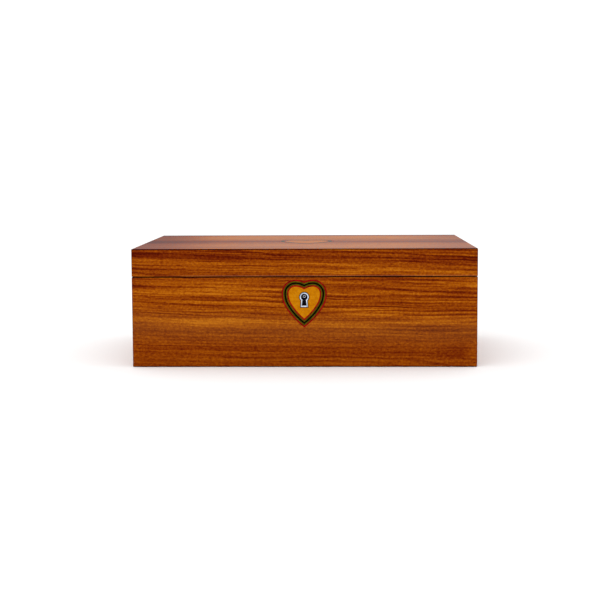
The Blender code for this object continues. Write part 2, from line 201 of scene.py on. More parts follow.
class Value:
    """A number that varies over a surface."""

    def __init__(self, finish, socket):
        self.finish = finish
        self.socket = socket

    def __add__(self, other):
        return self.finish.math("ADD", self, other)

    def __sub__(self, other):
        return self.finish.math("SUBTRACT", self, other)

    def __mul__(self, other):
        return self.finish.math("MULTIPLY", self, other)

    def size(self):
        return self.finish.math("ABSOLUTE", self)

    def between(self, low, high, to_low=0.0, to_high=1.0):
        """Goes smoothly from to_low to to_high as the value rises from low to high."""
        node = self.finish.node("ShaderNodeMapRange", interpolation_type="SMOOTHSTEP")
        settings = {"Value": self, "From Min": low, "From Max": high, "To Min": to_low, "To Max": to_high}
        for name, value in settings.items():
            self.finish.feed(node.inputs[name], value)
        return Value(self.finish, node.outputs["Result"])

    def band(self, centre, reach):
        """1 at the centre, falling smoothly to 0 at the reach on either side."""
        return (self - centre).size().between(0.0, reach, 1.0, 0.0)


class Finish:
    """A material in the making: its shader and the nodes that feed it."""

    # The colour sockets of a mix node, by number, because its other sockets have the same names
    MIX_FIRST = 6
    MIX_SECOND = 7
    MIX_RESULT = 2

    def __init__(self, name, values):
        self.material = bpy.data.materials.new(name)
        self.material.use_nodes = True
        self.tree = self.material.node_tree
        self.shader = self.tree.nodes["Principled BSDF"]
        for socket, value in values.items():
            self.shader.inputs[socket].default_value = value

    def node(self, kind, **settings):
        made = self.tree.nodes.new(kind)
        for name, value in settings.items():
            setattr(made, name, value)
        return made

    def feed(self, socket, value):
        """Joins a value to a socket, or sets the socket to a plain number or colour."""
        if isinstance(value, Value):
            value = value.socket
        if isinstance(value, bpy.types.NodeSocket):
            self.tree.links.new(value, socket)
        else:
            socket.default_value = value

    def math(self, operation, first, second=0.0):
        made = self.node("ShaderNodeMath", operation=operation)
        self.feed(made.inputs[0], first)
        self.feed(made.inputs[1], second)
        return Value(self, made.outputs["Value"])

    def place(self):
        """The X, Y and Z of the point on the piece, in metres."""
        coordinates = self.node("ShaderNodeTexCoord")
        parts = self.node("ShaderNodeSeparateXYZ")
        self.tree.links.new(coordinates.outputs["Object"], parts.inputs["Vector"])
        return {axis: Value(self, parts.outputs[axis.upper()]) for axis in "xyz"}

    def noise(self, x, y, z, detail=2.0, roughness=0.5):
        """Clouds about 0, between -0.5 and 0.5, with about one cloud to each unit of x, y and z.

        So a place in metres, times a number, gives about that number of clouds to a metre.
        """
        point = self.node("ShaderNodeCombineXYZ")
        for socket, value in zip(point.inputs, (x, y, z)):
            self.feed(socket, value)
        made = self.node("ShaderNodeTexNoise")
        self.tree.links.new(point.outputs["Vector"], made.inputs["Vector"])
        made.inputs["Scale"].default_value = 1.0
        made.inputs["Detail"].default_value = detail
        made.inputs["Roughness"].default_value = roughness
        return Value(self, made.outputs["Fac"]) - 0.5

    def ramp(self, value, stops):
        """A colour that changes with a value, from stops of position and colour."""
        made = self.node("ShaderNodeValToRGB")
        elements = made.color_ramp.elements
        while len(elements) < len(stops):
            elements.new(1.0)
        for element, (position, colour) in zip(elements, stops):
            element.position = position
            element.color = colour
        self.feed(made.inputs["Fac"], value)
        return made.outputs["Color"]

    def mix(self, share, first, second):
        """The first colour, with a share of the second laid over it."""
        made = self.node("ShaderNodeMix", data_type="RGBA")
        self.feed(made.inputs["Factor"], share)
        self.feed(made.inputs[self.MIX_FIRST], first)
        self.feed(made.inputs[self.MIX_SECOND], second)
        return made.outputs[self.MIX_RESULT]

    def colour(self, value):
        self.feed(self.shader.inputs["Base Color"], value)

    def roughness(self, value):
        self.feed(self.shader.inputs["Roughness"], value)

    def shine(self, value):
        """How strong the coat of lacquer is."""
        self.feed(self.shader.inputs["Coat Weight"], value)

    def relief(self, height, distance):
        """Fine unevenness: where height is 1, the surface stands out by the distance, in metres."""
        made = self.node("ShaderNodeBump")
        made.inputs["Distance"].default_value = distance
        self.feed(made.inputs["Height"], height)
        self.tree.links.new(made.outputs["Normal"], self.shader.inputs["Normal"])


# Finishes

LACQUER = {
    "Roughness": 0.5,
    "Specular IOR Level": 0.0,
    "Coat Weight": 0.25,
    "Coat Roughness": 0.1,
    "Coat IOR": 1.1,
}
VENEER_COLOURS = (
    (0.00, seen(84, 15, 2)),
    (0.20, seen(109, 32, 3)),
    (0.40, seen(130, 51, 4)),
    (0.50, seen(141, 61, 5)),
    (0.60, seen(152, 70, 6)),
    (0.80, seen(172, 88, 8)),
    (1.00, seen(196, 112, 18)),
)
DARK_EDGE_COLOUR = seen(52, 5, 2)
# Painted highlight along the lid's lower edge
PAINTED_EDGE_HIGHLIGHT = seen(235, 205, 175)
# Painted shade in the joint between lid and body
JOINT_SHADE = seen(16, 4, 3)
# Painted sheen, a pale colour laid over a band of the boards
PAINTED_PALE_SHEEN = seen(206, 165, 85)

# The lie of the veneer's grain: its slope and bow along a board, and how far it wanders, in metres
GRAIN_SLOPE = 0.018
GRAIN_BOW = 0.045
GRAIN_DRIFT = 0.008
GRAIN_RIPPLE = 0.0012

# Growth layers: how many there are to a metre across the grain, and how many of them their waves span
GROWTH_LAYERS = 230
GROWTH_WAVES = 7

# The veneer's tone, from 0, dark, to 1, light: its middle, and the strength of each part of its figure
MIDDLE_TONE = 0.585
BOARD_CLOUDS = 0.3
LID_CLOUDS = 1.0
WIDE_STREAKS = 0.5
FINE_STREAKS = 1.5
LAYER_LINES = 0.46
MOTTLE = 0.8
CURL = 0.25
PORES = 0.20

# The figure is calm up to one level of the grain and at full strength from the other
CALM_LEVEL = 0.026
LIVELY_LEVEL = 0.058
CALM_STRENGTH = 0.45

# Darkened edges: how far behind the face and below the lid's top the darkening begins and is full
DARKENING_BEHIND_FACE = 0.00001
DARKENING_FULL_BEHIND_FACE = 0.00010
DARK_LINE_BELOW_TOP = 0.0011
DARK_LINE_FULL_BELOW_TOP = 0.0007
EDGE_DARKENING_STRENGTH = 0.92

# The darkening fades at a board's ends: where that begins, where it is done, and the share that is left
DARKENING_FADES_BEFORE_END = 0.0011
DARKENING_FADED_BEFORE_END = 0.0006
DARKENING_LEFT_AT_END = 0.55

# The joint between lid and body, in heights from its middle: the painted highlight on the lid's lower edge
# above it, and the painted shade in it
EDGE_HIGHLIGHT_HEIGHT = 0.0010
EDGE_HIGHLIGHT_REACH = 0.0005
JOINT_SHADE_FULL = 0.00040
JOINT_SHADE_END = 0.00065
JOINT_SHADE_STRENGTH = 0.97

# Patches of the veneer: the middle along and across the grain, the reach both ways and the change of tone
WHOLE_LENGTH = 9.0
FRONT_PATCHES = (
    (0.0, 0.0940, WHOLE_LENGTH, 0.0080, -0.16),
    (0.0, 0.0830, WHOLE_LENGTH, 0.0070, 0.12),
    (0.0, 0.0715, WHOLE_LENGTH, 0.0040, 0.13),
    (0.0, 0.0540, WHOLE_LENGTH, 0.0100, 0.09),
    (0.0, 0.0380, WHOLE_LENGTH, 0.0060, 0.14),
    (0.0, 0.0160, WHOLE_LENGTH, 0.0200, -0.05),
    # This row makes the board darker towards the bottom
    (0.0, 0.0000, WHOLE_LENGTH, 0.0050, -0.08),
    (-0.140, 0.0950, 0.040, 0.008, -0.22),
    (-0.040, 0.0965, 0.060, 0.004, 0.20),
    (-0.060, 0.0910, 0.110, 0.005, -0.20),
    (0.092, 0.0925, 0.014, 0.006, -0.12),
    (0.140, 0.0945, 0.016, 0.003, -0.20),
    (-0.085, 0.0650, 0.085, 0.007, 0.25),
    (-0.045, 0.0590, 0.045, 0.009, 0.18),
    (-0.085, 0.0365, 0.080, 0.006, 0.16),
    (0.040, 0.0870, 0.060, 0.006, 0.18),
    (0.085, 0.0815, 0.040, 0.005, -0.16),
    (0.035, 0.0600, 0.070, 0.005, -0.16),
    (0.045, 0.0480, 0.045, 0.007, 0.24),
    (0.090, 0.0430, 0.045, 0.006, 0.22),
    (0.110, 0.0360, 0.060, 0.005, -0.30),
    (0.130, 0.0650, 0.025, 0.006, -0.22),
    (0.128, 0.0165, 0.024, 0.012, -0.25),
)
SIDE_PATCHES = (
    (0.0, 0.0950, WHOLE_LENGTH, 0.0080, -0.12),
    (0.0, 0.0830, WHOLE_LENGTH, 0.0060, 0.08),
    (0.0, 0.0560, WHOLE_LENGTH, 0.0120, 0.10),
    (0.0, 0.0300, WHOLE_LENGTH, 0.0080, -0.08),
    # This row makes the board darker towards the bottom
    (0.0, 0.0000, WHOLE_LENGTH, 0.0080, -0.10),
    (-0.045, 0.0420, 0.040, 0.010, 0.12),
    (0.050, 0.0650, 0.035, 0.008, 0.10),
)
TOP_PATCHES = (
    (0.0, 0.0600, WHOLE_LENGTH, 0.0640, 0.48),
    (0.0, 0.1000, WHOLE_LENGTH, 0.0340, -0.60),
    (0.0, -0.0550, WHOLE_LENGTH, 0.0560, 0.30),
    (0.040, 0.0020, 0.200, 0.0200, -0.20),
    (-0.150, 0.0600, 0.090, 0.0560, -0.40),
    (-0.150, 0.0, 0.080, 0.4, -0.40),
    (0.150, 0.0, 0.080, 0.4, -0.26),
)


def grain_level(finish, run, rise, seed):
    """How far across the grain a point lies, because the grain slopes, bows and wanders a little."""
    drift = finish.noise(run * 6, rise * 8, seed) * GRAIN_DRIFT
    ripple = finish.noise(run * 40, rise * 50, seed + 1) * GRAIN_RIPPLE
    return rise + run * GRAIN_SLOPE - run * run * GRAIN_BOW + drift + ripple


def board_tone(finish, run, level, seed, clouds, patches):
    """The slow changes of tone over a board: its own clouds, and the patches over them."""
    tone = finish.noise(run * 2.5, level * 60, seed, detail=1) * clouds + MIDDLE_TONE
    for middle_run, middle_rise, reach_run, reach_rise, change in patches:
        patch = level.band(middle_rise, reach_rise)
        if reach_run < WHOLE_LENGTH:
            patch = patch * run.band(middle_run, reach_run)
        tone = tone + patch * change
    return tone


def layer_lines(finish, run, level, seed):
    """Lines from 0 to 1 where growth layers meet: each layer darkens to its end and the next starts dark."""
    waves = finish.noise(run * 2.2, level * 40, seed, detail=2, roughness=0.6)
    layer = finish.math("FRACT", level * GROWTH_LAYERS + waves * GROWTH_WAVES)
    strength = finish.noise(run * 5, level * 90, seed + 0.5).between(-0.2, 0.2, 0.25, 1.0)
    return (layer.between(0.0, 0.14, 1.0, 0.0) + layer.between(0.60, 1.0)) * strength


def with_darkened_edges(finish, wood, place, axes, face_at, patchy_strength):
    """The wood darker on its rounded edges and along a line below the lid's top, less so at the ends of the
    board.
    """
    along, across, behind = axes
    inwards = 1 if face_at < 0 else -1
    depth = (place[behind] - face_at) * inwards
    half_length = RIGHT if along == "x" else BACK
    fades, faded = half_length - DARKENING_FADES_BEFORE_END, half_length - DARKENING_FADED_BEFORE_END
    ends = place[along].size().between(fades, faded, 1.0, DARKENING_LEFT_AT_END)
    edge = depth.between(DARKENING_BEHIND_FACE, DARKENING_FULL_BEHIND_FACE)
    if across == "z":
        top_edge = place["z"].between(TOP - DARK_LINE_BELOW_TOP, TOP - DARK_LINE_FULL_BELOW_TOP)
        edge = finish.math("MAXIMUM", edge, top_edge)
    return finish.mix(edge * patchy_strength * ends * EDGE_DARKENING_STRENGTH, wood, DARK_EDGE_COLOUR)


def with_joint_highlight_and_shade(finish, wood, run, rise, patchy_strength):
    """The wood with a painted highlight along the lid's lower edge and painted shade in the joint.

    Seen from the front, the painted highlight is weakest at the left and the painted shade at the right.
    """
    from_joint = rise - JOINT_Z
    # Painted highlight: a pale line along the lid's lower edge, weaker towards the left end
    edge_highlight = from_joint.band(EDGE_HIGHLIGHT_HEIGHT, EDGE_HIGHLIGHT_REACH) * run.between(-0.13, -0.07, 0.01, 0.08)
    wood = finish.mix(edge_highlight * patchy_strength, wood, PAINTED_EDGE_HIGHLIGHT)
    # Painted shade: the wood next to the joint darkened, less so towards the right end
    joint_shade = from_joint.size().between(JOINT_SHADE_FULL, JOINT_SHADE_END, JOINT_SHADE_STRENGTH, 0.0)
    return finish.mix(joint_shade * run.between(0.108, 0.120, 1.0, 0.4), wood, JOINT_SHADE)


def lid_shine(run, rise):
    """The shine of the lid's lacquer, dullest at the left end and brightest along the front."""
    return run.between(-0.14, -0.01, 0.17, 0.25) * rise.between(-0.09, 0.01, 1.25, 1.0)


def veneer(name, axes, face_at, seed, patches, clouds=BOARD_CLOUDS):
    """Lacquered veneer. Its axes are along the grain, across it and into the board."""
    finish = Finish(name, LACQUER)
    place = finish.place()
    run, rise = place[axes[0]], place[axes[1]]
    level = grain_level(finish, run, rise, seed)
    wide_streaks = finish.noise(run * 4, level * 150, seed + 3, detail=1, roughness=0.9)
    fine_streaks = finish.noise(run * 9, level * 520, seed + 8, detail=1, roughness=0.9)
    lines = layer_lines(finish, run, level, seed + 9)
    mottle = finish.noise(run * 420, level * 560, seed + 4, detail=1, roughness=0.9)
    curl = finish.noise(run * 80, level * 70, seed + 5, detail=2)
    pores = finish.noise(run * 130, level * 800, seed + 6, detail=1).between(0.10, 0.20)

    lively = level.between(CALM_LEVEL, LIVELY_LEVEL, CALM_STRENGTH, 1.0)
    streaks = wide_streaks * WIDE_STREAKS + fine_streaks * FINE_STREAKS - lines * LAYER_LINES
    tone = board_tone(finish, run, level, seed + 2, clouds, patches) + streaks * lively
    tone = tone + mottle * MOTTLE + curl * CURL - pores * PORES
    wood = finish.ramp(tone, VENEER_COLOURS)
    # Painted sheen: a pale colour laid thinly over a band of the grain's level
    wood = finish.mix(level.band(0.033, 0.020) * 0.05, wood, PAINTED_PALE_SHEEN)

    patchy_strength = finish.noise(run * 50, rise * 50, seed + 7, detail=2) * 0.8 + 1.0
    wood = with_darkened_edges(finish, wood, place, axes, face_at, patchy_strength)
    if axes[1] == "z":
        wood = with_joint_highlight_and_shade(finish, wood, run, rise, patchy_strength)
    else:
        finish.shine(lid_shine(run, rise))
    finish.colour(wood)
    finish.roughness(fine_streaks * 0.15 + 0.5)
    finish.relief(pores * -0.6 + mottle * 0.3, 0.00003)
    return finish.material


def inside_wood(name, along, seed):
    """Plain satin wood of the inside, the rims and the underside, with grain along one axis."""
    finish = Finish(name, {"Roughness": 0.5, "Specular IOR Level": 0.3})
    place = finish.place()
    run = place[along]
    first, second = (place[axis] for axis in "xyz" if axis != along)
    rise = first + second
    level = rise + finish.noise(run * 6, rise * 10, seed) * 0.006
    streaks = finish.noise(run * 8, level * 220, seed + 1, detail=4, roughness=0.7)
    pores = finish.noise(run * 150, level * 1400, seed + 2, detail=1).between(0.15, 0.24)
    tone = streaks * 1.3 + 0.5 - pores * 0.25
    finish.colour(finish.ramp(tone, (
        (0.15, srgb(88, 44, 18)),
        (0.50, srgb(132, 74, 34)),
        (0.85, srgb(160, 98, 50)),
    )))
    finish.roughness(streaks * 0.2 + 0.5)
    finish.relief(pores * -0.7 + streaks * 0.3, 0.00006)
    return finish.material


def dyed_wood(name, dark, light, seed):
    """A dyed string under lacquer, its dye a little uneven."""
    finish = Finish(name, LACQUER)
    place = finish.place()
    cloud = finish.noise(place["x"] * 260, place["y"] * 260, place["z"] * 260 + seed, detail=3)
    finish.colour(finish.ramp(cloud * 1.6 + 0.5, ((0.2, dark), (0.8, light))))
    finish.roughness(cloud * 0.2 + 0.5)
    return finish.material


def golden_veneer(name, across, seed, dark, middle, light):
    """Golden veneer under lacquer, with a faint curl that runs slantwise over the grain."""
    finish = Finish(name, LACQUER)
    place = finish.place()
    run, rise = place["x"], place[across]
    curl = finish.noise((run + rise * 0.7) * 330, (rise - run * 0.7) * 160, seed, detail=2, roughness=0.7)
    grain = finish.noise(run * 60, rise * 900, seed + 1, detail=2)
    tone = curl * 1.1 + grain * 0.6 + 0.5
    finish.colour(finish.ramp(tone, ((0.15, dark), (0.50, middle), (0.85, light))))
    finish.roughness(grain * 0.2 + 0.5)
    return finish.material


def metal(name, dark, light, roughness, seed):
    """Metal with faint clouds of tarnish and fine brush marks."""
    finish = Finish(name, {"Metallic": 1.0})
    place = finish.place()
    cloud = finish.noise(place["x"] * 400, place["y"] * 400, place["z"] * 400 + seed, detail=4, roughness=0.6)
    brush = finish.noise(place["x"] * 500, place["y"] * 6000, place["z"] * 6000 + seed, detail=2)
    finish.colour(finish.ramp(cloud * 1.5 + 0.5, ((0.2, dark), (0.7, light))))
    finish.roughness(cloud * 0.25 + brush * 0.15 + roughness)
    finish.relief(brush, 0.000006)
    return finish.material


FRONT_VENEER = veneer("front_veneer", "xzy", FRONT, 11, FRONT_PATCHES)
BACK_VENEER = veneer("back_veneer", "xzy", BACK, 31, SIDE_PATCHES)
LEFT_VENEER = veneer("left_veneer", "yzx", LEFT, 51, SIDE_PATCHES)
RIGHT_VENEER = veneer("right_veneer", "yzx", RIGHT, 71, SIDE_PATCHES)
TOP_VENEER = veneer("top_veneer", "xyz", TOP, 91, TOP_PATCHES, LID_CLOUDS)
INSIDE_ALONG_X = inside_wood("inside_wood_along_x", "x", 3)
INSIDE_ALONG_Y = inside_wood("inside_wood_along_y", "y", 5)
INSIDE_FLAT = inside_wood("inside_wood_flat", "x", 8)
RED = dyed_wood("red_string", seen(112, 3, 6), seen(170, 10, 16), 1)
OLIVE = dyed_wood("olive_string", seen(64, 58, 2), seen(100, 88, 8), 2)
BLACK = dyed_wood("black_string", seen(1, 1, 1), seen(5, 4, 4), 3)
FRONT_GOLD = golden_veneer(
    "front_golden_veneer", "z", 4, seen(180, 102, 2), seen(202, 124, 5), seen(216, 140, 14))
LID_GOLD = golden_veneer(
    "lid_golden_veneer", "y", 9, seen(160, 80, 4), seen(184, 100, 8), seen(200, 118, 12))
SILVER = metal("silvered_metal", srgb(150, 160, 178), srgb(214, 222, 236), 0.22, 1)
# Dark metal for the ring's edges: a painted dark reflection
PAINTED_DARK_REFLECTION = metal("painted_dark_reflection_edge", srgb(24, 24, 30), srgb(48, 48, 56), 0.45, 5)
BRIGHT_STEEL = metal("bright_steel", srgb(150, 154, 164), srgb(222, 226, 236), 0.25, 7)
STEEL = metal("dark_steel", srgb(52, 52, 58), srgb(96, 96, 104), 0.36, 2)
# Very dark steel, painted shade for the lock case seen through the keyway and for the pin's bore
SHADE_DARK_STEEL = metal("shade_dark_steel", srgb(12, 12, 18), srgb(32, 32, 46), 0.45, 6)
BRASS = metal("brass", srgb(178, 132, 64), srgb(208, 164, 86), 0.27, 3)

# The strings of a heart's banding, from the outside in
STRINGS = (
    ("outer_red", 0.00120, RED),
    ("outer_olive", 0.00104, OLIVE),
    ("black", 0.00137, BLACK),
    ("inner_olive", 0.00104, OLIVE),
    ("inner_red", 0.00120, RED),
)


# Shapes

def face_outwards(shape):
    """Turns every face of a closed shape outwards."""
    bmesh.ops.recalc_face_normals(shape, faces=shape.faces)
    if shape.calc_volume(signed=True) < 0:
        bmesh.ops.reverse_faces(shape, faces=shape.faces)


def as_piece(name, shape, finishes, body, node):
    """Makes a bmesh a piece of the box, on its body, in place of the node that it stands for."""
    face_outwards(shape)
    mesh = bpy.data.meshes.new(name)
    shape.to_mesh(mesh)
    shape.free()
    for finish in finishes:
        mesh.materials.append(finish)
    mesh.shade_smooth()
    mesh.set_sharp_from_angle(angle=SMOOTH_ANGLE)
    piece = bpy.data.objects.new(name, mesh)
    bpy.context.scene.collection.objects.link(piece)
    even = piece.modifiers.new("even_shading", "WEIGHTED_NORMAL")
    even.keep_sharp = True
    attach(piece, body)
    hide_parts(node)


def block(low, high):
    """A box between two corners."""
    low, high = Vector(low), Vector(high)
    shape = bmesh.new()
    bmesh.ops.create_cube(shape, size=1.0)
    bmesh.ops.scale(shape, vec=high - low, verts=shape.verts)
    bmesh.ops.translate(shape, vec=(low + high) / 2, verts=shape.verts)
    return shape


def round_edges(shape, edges, offset, segments):
    bmesh.ops.bevel(
        shape, geom=list(edges), offset=offset, segments=segments,
        profile=0.5, affect="EDGES", material=-1,
    )


def eased_block(low, high):
    """A box with the fine rounded edges of the hardware."""
    shape = block(low, high)
    round_edges(shape, shape.edges, HARDWARE_EDGE, HARDWARE_SEGMENTS)
    return shape


def trim(shape, point, normal):
    """Cuts away what lies beyond a plane and closes the cut."""
    cut = bmesh.ops.bisect_plane(
        shape, geom=shape.verts[:] + shape.edges[:] + shape.faces[:],
        plane_co=point, plane_no=normal, clear_outer=True,
    )
    rim = [item for item in cut["geom_cut"] if isinstance(item, bmesh.types.BMEdge)]
    bmesh.ops.edgeloop_fill(shape, edges=rim)


def made_from(held):
    """The finished shape of an object, with its modifiers applied."""
    graph = bpy.context.evaluated_depsgraph_get()
    mesh = bpy.data.meshes.new_from_object(held.evaluated_get(graph))
    shape = bmesh.new()
    shape.from_mesh(mesh)
    bpy.data.meshes.remove(mesh)
    return shape


def joined(shape, others, operation="UNION"):
    """The shape with the others added to it or, by DIFFERENCE, cut out of it."""
    held = []
    for each in (shape, *others):
        face_outwards(each)
        mesh = bpy.data.meshes.new("held")
        each.to_mesh(mesh)
        each.free()
        held.append(bpy.data.objects.new("held", mesh))
        bpy.context.scene.collection.objects.link(held[-1])
    for other in held[1:]:
        modifier = held[0].modifiers.new("join", "BOOLEAN")
        modifier.operation = operation
        modifier.solver = "EXACT"
        modifier.object = other
    result = made_from(held[0])
    for each in held:
        bpy.data.meshes.remove(each.data)
    return result


def cut_out(shape, cutters):
    return joined(shape, cutters, "DIFFERENCE")


def arc(centre, radius, start, end):
    """Points on a round stretch, with angles in radians."""
    steps = max(2, round(abs(end - start) / ARC_STEP))
    angles = [start + (end - start) * i / steps for i in range(steps + 1)]
    return [(centre[0] + radius * math.cos(a), centre[1] + radius * math.sin(a)) for a in angles]


def mirrored(right_half):
    """A closed outline from its right half, which runs from the top to the bottom."""
    left_half = [(-x, y) for x, y in reversed(right_half) if x > SAME_PLACE]
    return right_half + left_half


def heart_outline(scale, offset):
    """A heart with its point down, about the level of its widest place, drawn offset outwards."""
    shoulder, lobe, upper, lower, lobe_x = (size * scale for size in HEART.values())
    upper_x = lobe_x + lobe - upper
    lower_x = upper_x - (lower - upper) * math.cos(UPPER_SIDE_ANGLE)
    lower_y = (lower - upper) * math.sin(UPPER_SIDE_ANGLE)
    notch_angle = math.acos(-lobe_x / (shoulder + offset))
    half = arc((lobe_x, lobe - shoulder), shoulder + offset, notch_angle, math.pi / 2)
    half[0] = (0, half[0][1])
    half += arc((lobe_x, 0), lobe + offset, math.pi / 2, 0)[1:]
    half += arc((upper_x, 0), upper + offset, 0, -UPPER_SIDE_ANGLE)[1:]
    half += arc((lower_x, lower_y), lower + offset, -UPPER_SIDE_ANGLE, -POINT_HALF_ANGLE)[1:]
    last_x, last_y = half[-1]
    half.append((0, last_y - last_x / math.tan(POINT_HALF_ANGLE)))
    return mirrored(half)


def keyhole_outline(sizes, offset=0.0, centre_y=0.0):
    """A keyhole about the middle of its round head, with a skirt below that widens to a flat foot."""
    head, neck = sizes["head"] + offset, sizes["neck"] + offset
    foot, drop = sizes["foot"] + offset, sizes["drop"] + offset
    half = arc((0, 0), head, math.pi / 2, -math.acos(neck / head))
    half[0] = (0, head)
    half.append((foot, -drop))
    return [(x, y + centre_y) for x, y in mirrored(half)]


def plate(outlines, thickness, place, rounding=0.0):
    """A flat shape of closed outlines, the inner ones cut out, with its face at the place's own Z of 0."""
    drawing = bpy.data.curves.new("drawing", "CURVE")
    drawing.dimensions = "2D"
    drawing.fill_mode = "BOTH"
    drawing.extrude = thickness / 2 - rounding
    drawing.bevel_depth = rounding
    drawing.bevel_resolution = PLATE_EDGE_STEPS
    drawing.offset = -rounding
    for outline in outlines:
        spline = drawing.splines.new("POLY")
        spline.points.add(len(outline) - 1)
        for point, (x, y) in zip(spline.points, outline):
            point.co = (x, y, 0, 1)
        spline.use_cyclic_u = True
    drawn = bpy.data.objects.new("drawing", drawing)
    bpy.context.scene.collection.objects.link(drawn)
    shape = made_from(drawn)
    bpy.data.curves.remove(drawing)
    bmesh.ops.remove_doubles(shape, verts=shape.verts, dist=SAME_POINT)
    bmesh.ops.dissolve_limit(shape, angle_limit=FLAT_ANGLE, verts=shape.verts, edges=shape.edges)
    face_outwards(shape)
    bmesh.ops.translate(shape, vec=(0, 0, -thickness / 2), verts=shape.verts)
    shape.transform(place)
    return shape


def turned(profile, place):
    """A shape turned about its own Z axis from points of radius and height."""
    shape = bmesh.new()
    points = [shape.verts.new((radius, 0, height)) for radius, height in profile]
    edges = [shape.edges.new(pair) for pair in zip(points, points[1:])]
    bmesh.ops.spin(
        shape, geom=points + edges, cent=(0, 0, 0), axis=(0, 0, 1),
        angle=math.tau, steps=TURNED_STEPS, use_merge=True,
    )
    bmesh.ops.remove_doubles(shape, verts=shape.verts, dist=SAME_POINT)
    face_outwards(shape)
    shape.transform(place)
    return shape


def facing(direction, point):
    """A place at a point, with its own Z axis along a direction."""
    return Matrix.Translation(point) @ Vector(direction).to_track_quat("Z", "Y").to_matrix().to_4x4()


def front_place(z, proud=0.0):
    """The place of a flat shape on the front wall, with its face proud of the wall."""
    return Matrix.Translation((0, FRONT - proud, z)) @ UPRIGHT


LID_PLACE = Matrix.Translation((0, LID_HEART_Y, TOP))


# Places of the hardware, and the cutters that make room in the boards

def lock_corners():
    """The corners of the lock's plate, of the case behind it and of the selvedge along the rim."""
    plate_y = FRONT_INNER - LOCK_PLATE_THICKNESS
    half_plate, half_case = LOCK_PLATE_WIDTH / 2, LOCK_CASE_WIDTH / 2
    return {
        "plate": ((-half_plate, plate_y, RIM - LOCK_PLATE_HEIGHT), (half_plate, FRONT_INNER, RIM)),
        "case": ((-half_case, plate_y - LOCK_CASE_THICKNESS, RIM - LOCK_CASE_HEIGHT),
                 (half_case, plate_y, RIM - LOCK_PLATE_THICKNESS)),
        "selvedge": ((-half_plate, SELVEDGE_EDGE_Y, RIM - LOCK_PLATE_THICKNESS),
                     (half_plate, plate_y, RIM)),
    }


def strike_corners():
    return ((-LOCK_PLATE_WIDTH / 2, SELVEDGE_EDGE_Y, LID_BOTTOM),
            (LOCK_PLATE_WIDTH / 2, FRONT_INNER, LID_BOTTOM + LOCK_PLATE_THICKNESS))


def leaf_corners(centre_x, low_z):
    """The corners of a hinge leaf's plate."""
    half = HINGE_LENGTH / 2
    return ((centre_x - half, BACK - HINGE_LEAF_WIDTH, low_z),
            (centre_x + half, BACK, low_z + HINGE_LEAF_THICKNESS))


def recess(corners, ways):
    """A cutter round a piece, with a little play, run out through the board's face in the given ways."""
    low, high = Vector(corners[0]), Vector(corners[1])
    play = Vector((HARDWARE_GAP, HARDWARE_GAP, HARDWARE_GAP))
    low, high = low - play, high + play
    for i in range(3):
        if ways[i] > 0:
            high[i] += THROUGH
        if ways[i] < 0:
            low[i] -= THROUGH
    return block(low, high)


def heart_pocket(scale, place):
    outline = heart_outline(scale, BANDING_WIDTH / 2 + GLUE_LINE)
    return plate([outline], 2 * INLAY_THICKNESS, place @ Matrix.Translation((0, 0, INLAY_THICKNESS)))


def keyhole_bar(from_y, to_y):
    """A bar of the keyhole's section, from one depth to another."""
    place = Matrix.Translation((0, from_y, KEYHOLE_Z)) @ UPRIGHT
    return plate([keyhole_outline(KEYHOLE)], to_y - from_y, place)


# Boards

def is_at_joint(edge):
    """Whether an edge lies where the lid meets the body."""
    return any(
        all(abs(vert.co.z - height) < SAME_PLACE for vert in edge.verts)
        for height in (RIM, LID_BOTTOM)
    )


def round_board(shape, outward):
    """Rounds a board's outer edges, and only eases those at the joint and round its inner face."""
    show_face = max(shape.faces, key=lambda face: face.normal.dot(outward))
    outer_edges = [edge for edge in show_face.edges if not is_at_joint(edge)]
    round_edges(shape, outer_edges, EDGE_ROUND, EDGE_SEGMENTS)
    shape.normal_update()
    joint_edges = [
        edge for edge in shape.edges
        if is_at_joint(edge) and any(face.normal.dot(outward) > OUTWARD_SHARE for face in edge.link_faces)
    ]
    if joint_edges:
        round_edges(shape, joint_edges, SMALL_EDGE_ROUND, SMALL_EDGE_SEGMENTS)
    shape.normal_update()
    inner_face = min(shape.faces, key=lambda face: face.normal.dot(outward))
    round_edges(shape, inner_face.edges, SMALL_EDGE_ROUND, SMALL_EDGE_SEGMENTS)


def board(name, node, low, high, outward, neighbours, finishes, body, cutters=()):
    """One board of the case, its edges rounded and its ends mitred to its neighbours."""
    low, high, outward = Vector(low), Vector(high), Vector(outward)
    shape = block(low, high)
    round_board(shape, outward)
    middle, reach = (low + high) / 2, (high - low) / 2
    for neighbour in map(Vector, neighbours):
        corner = Vector(middle[i] + reach[i] * (outward[i] + neighbour[i]) for i in range(3))
        normal = (neighbour - outward).normalized()
        trim(shape, corner - normal * MITRE_GAP / 2, normal)
    if cutters:
        shape = cut_out(shape, cutters)
    face_at = max(low.dot(outward), high.dot(outward))
    for face in shape.faces:
        depth = face_at - min(vert.co.dot(outward) for vert in face.verts)
        face.material_index = 0 if depth < EDGE_ROUND + SAME_DEPTH else 1
    as_piece(name, shape, finishes, body, node)


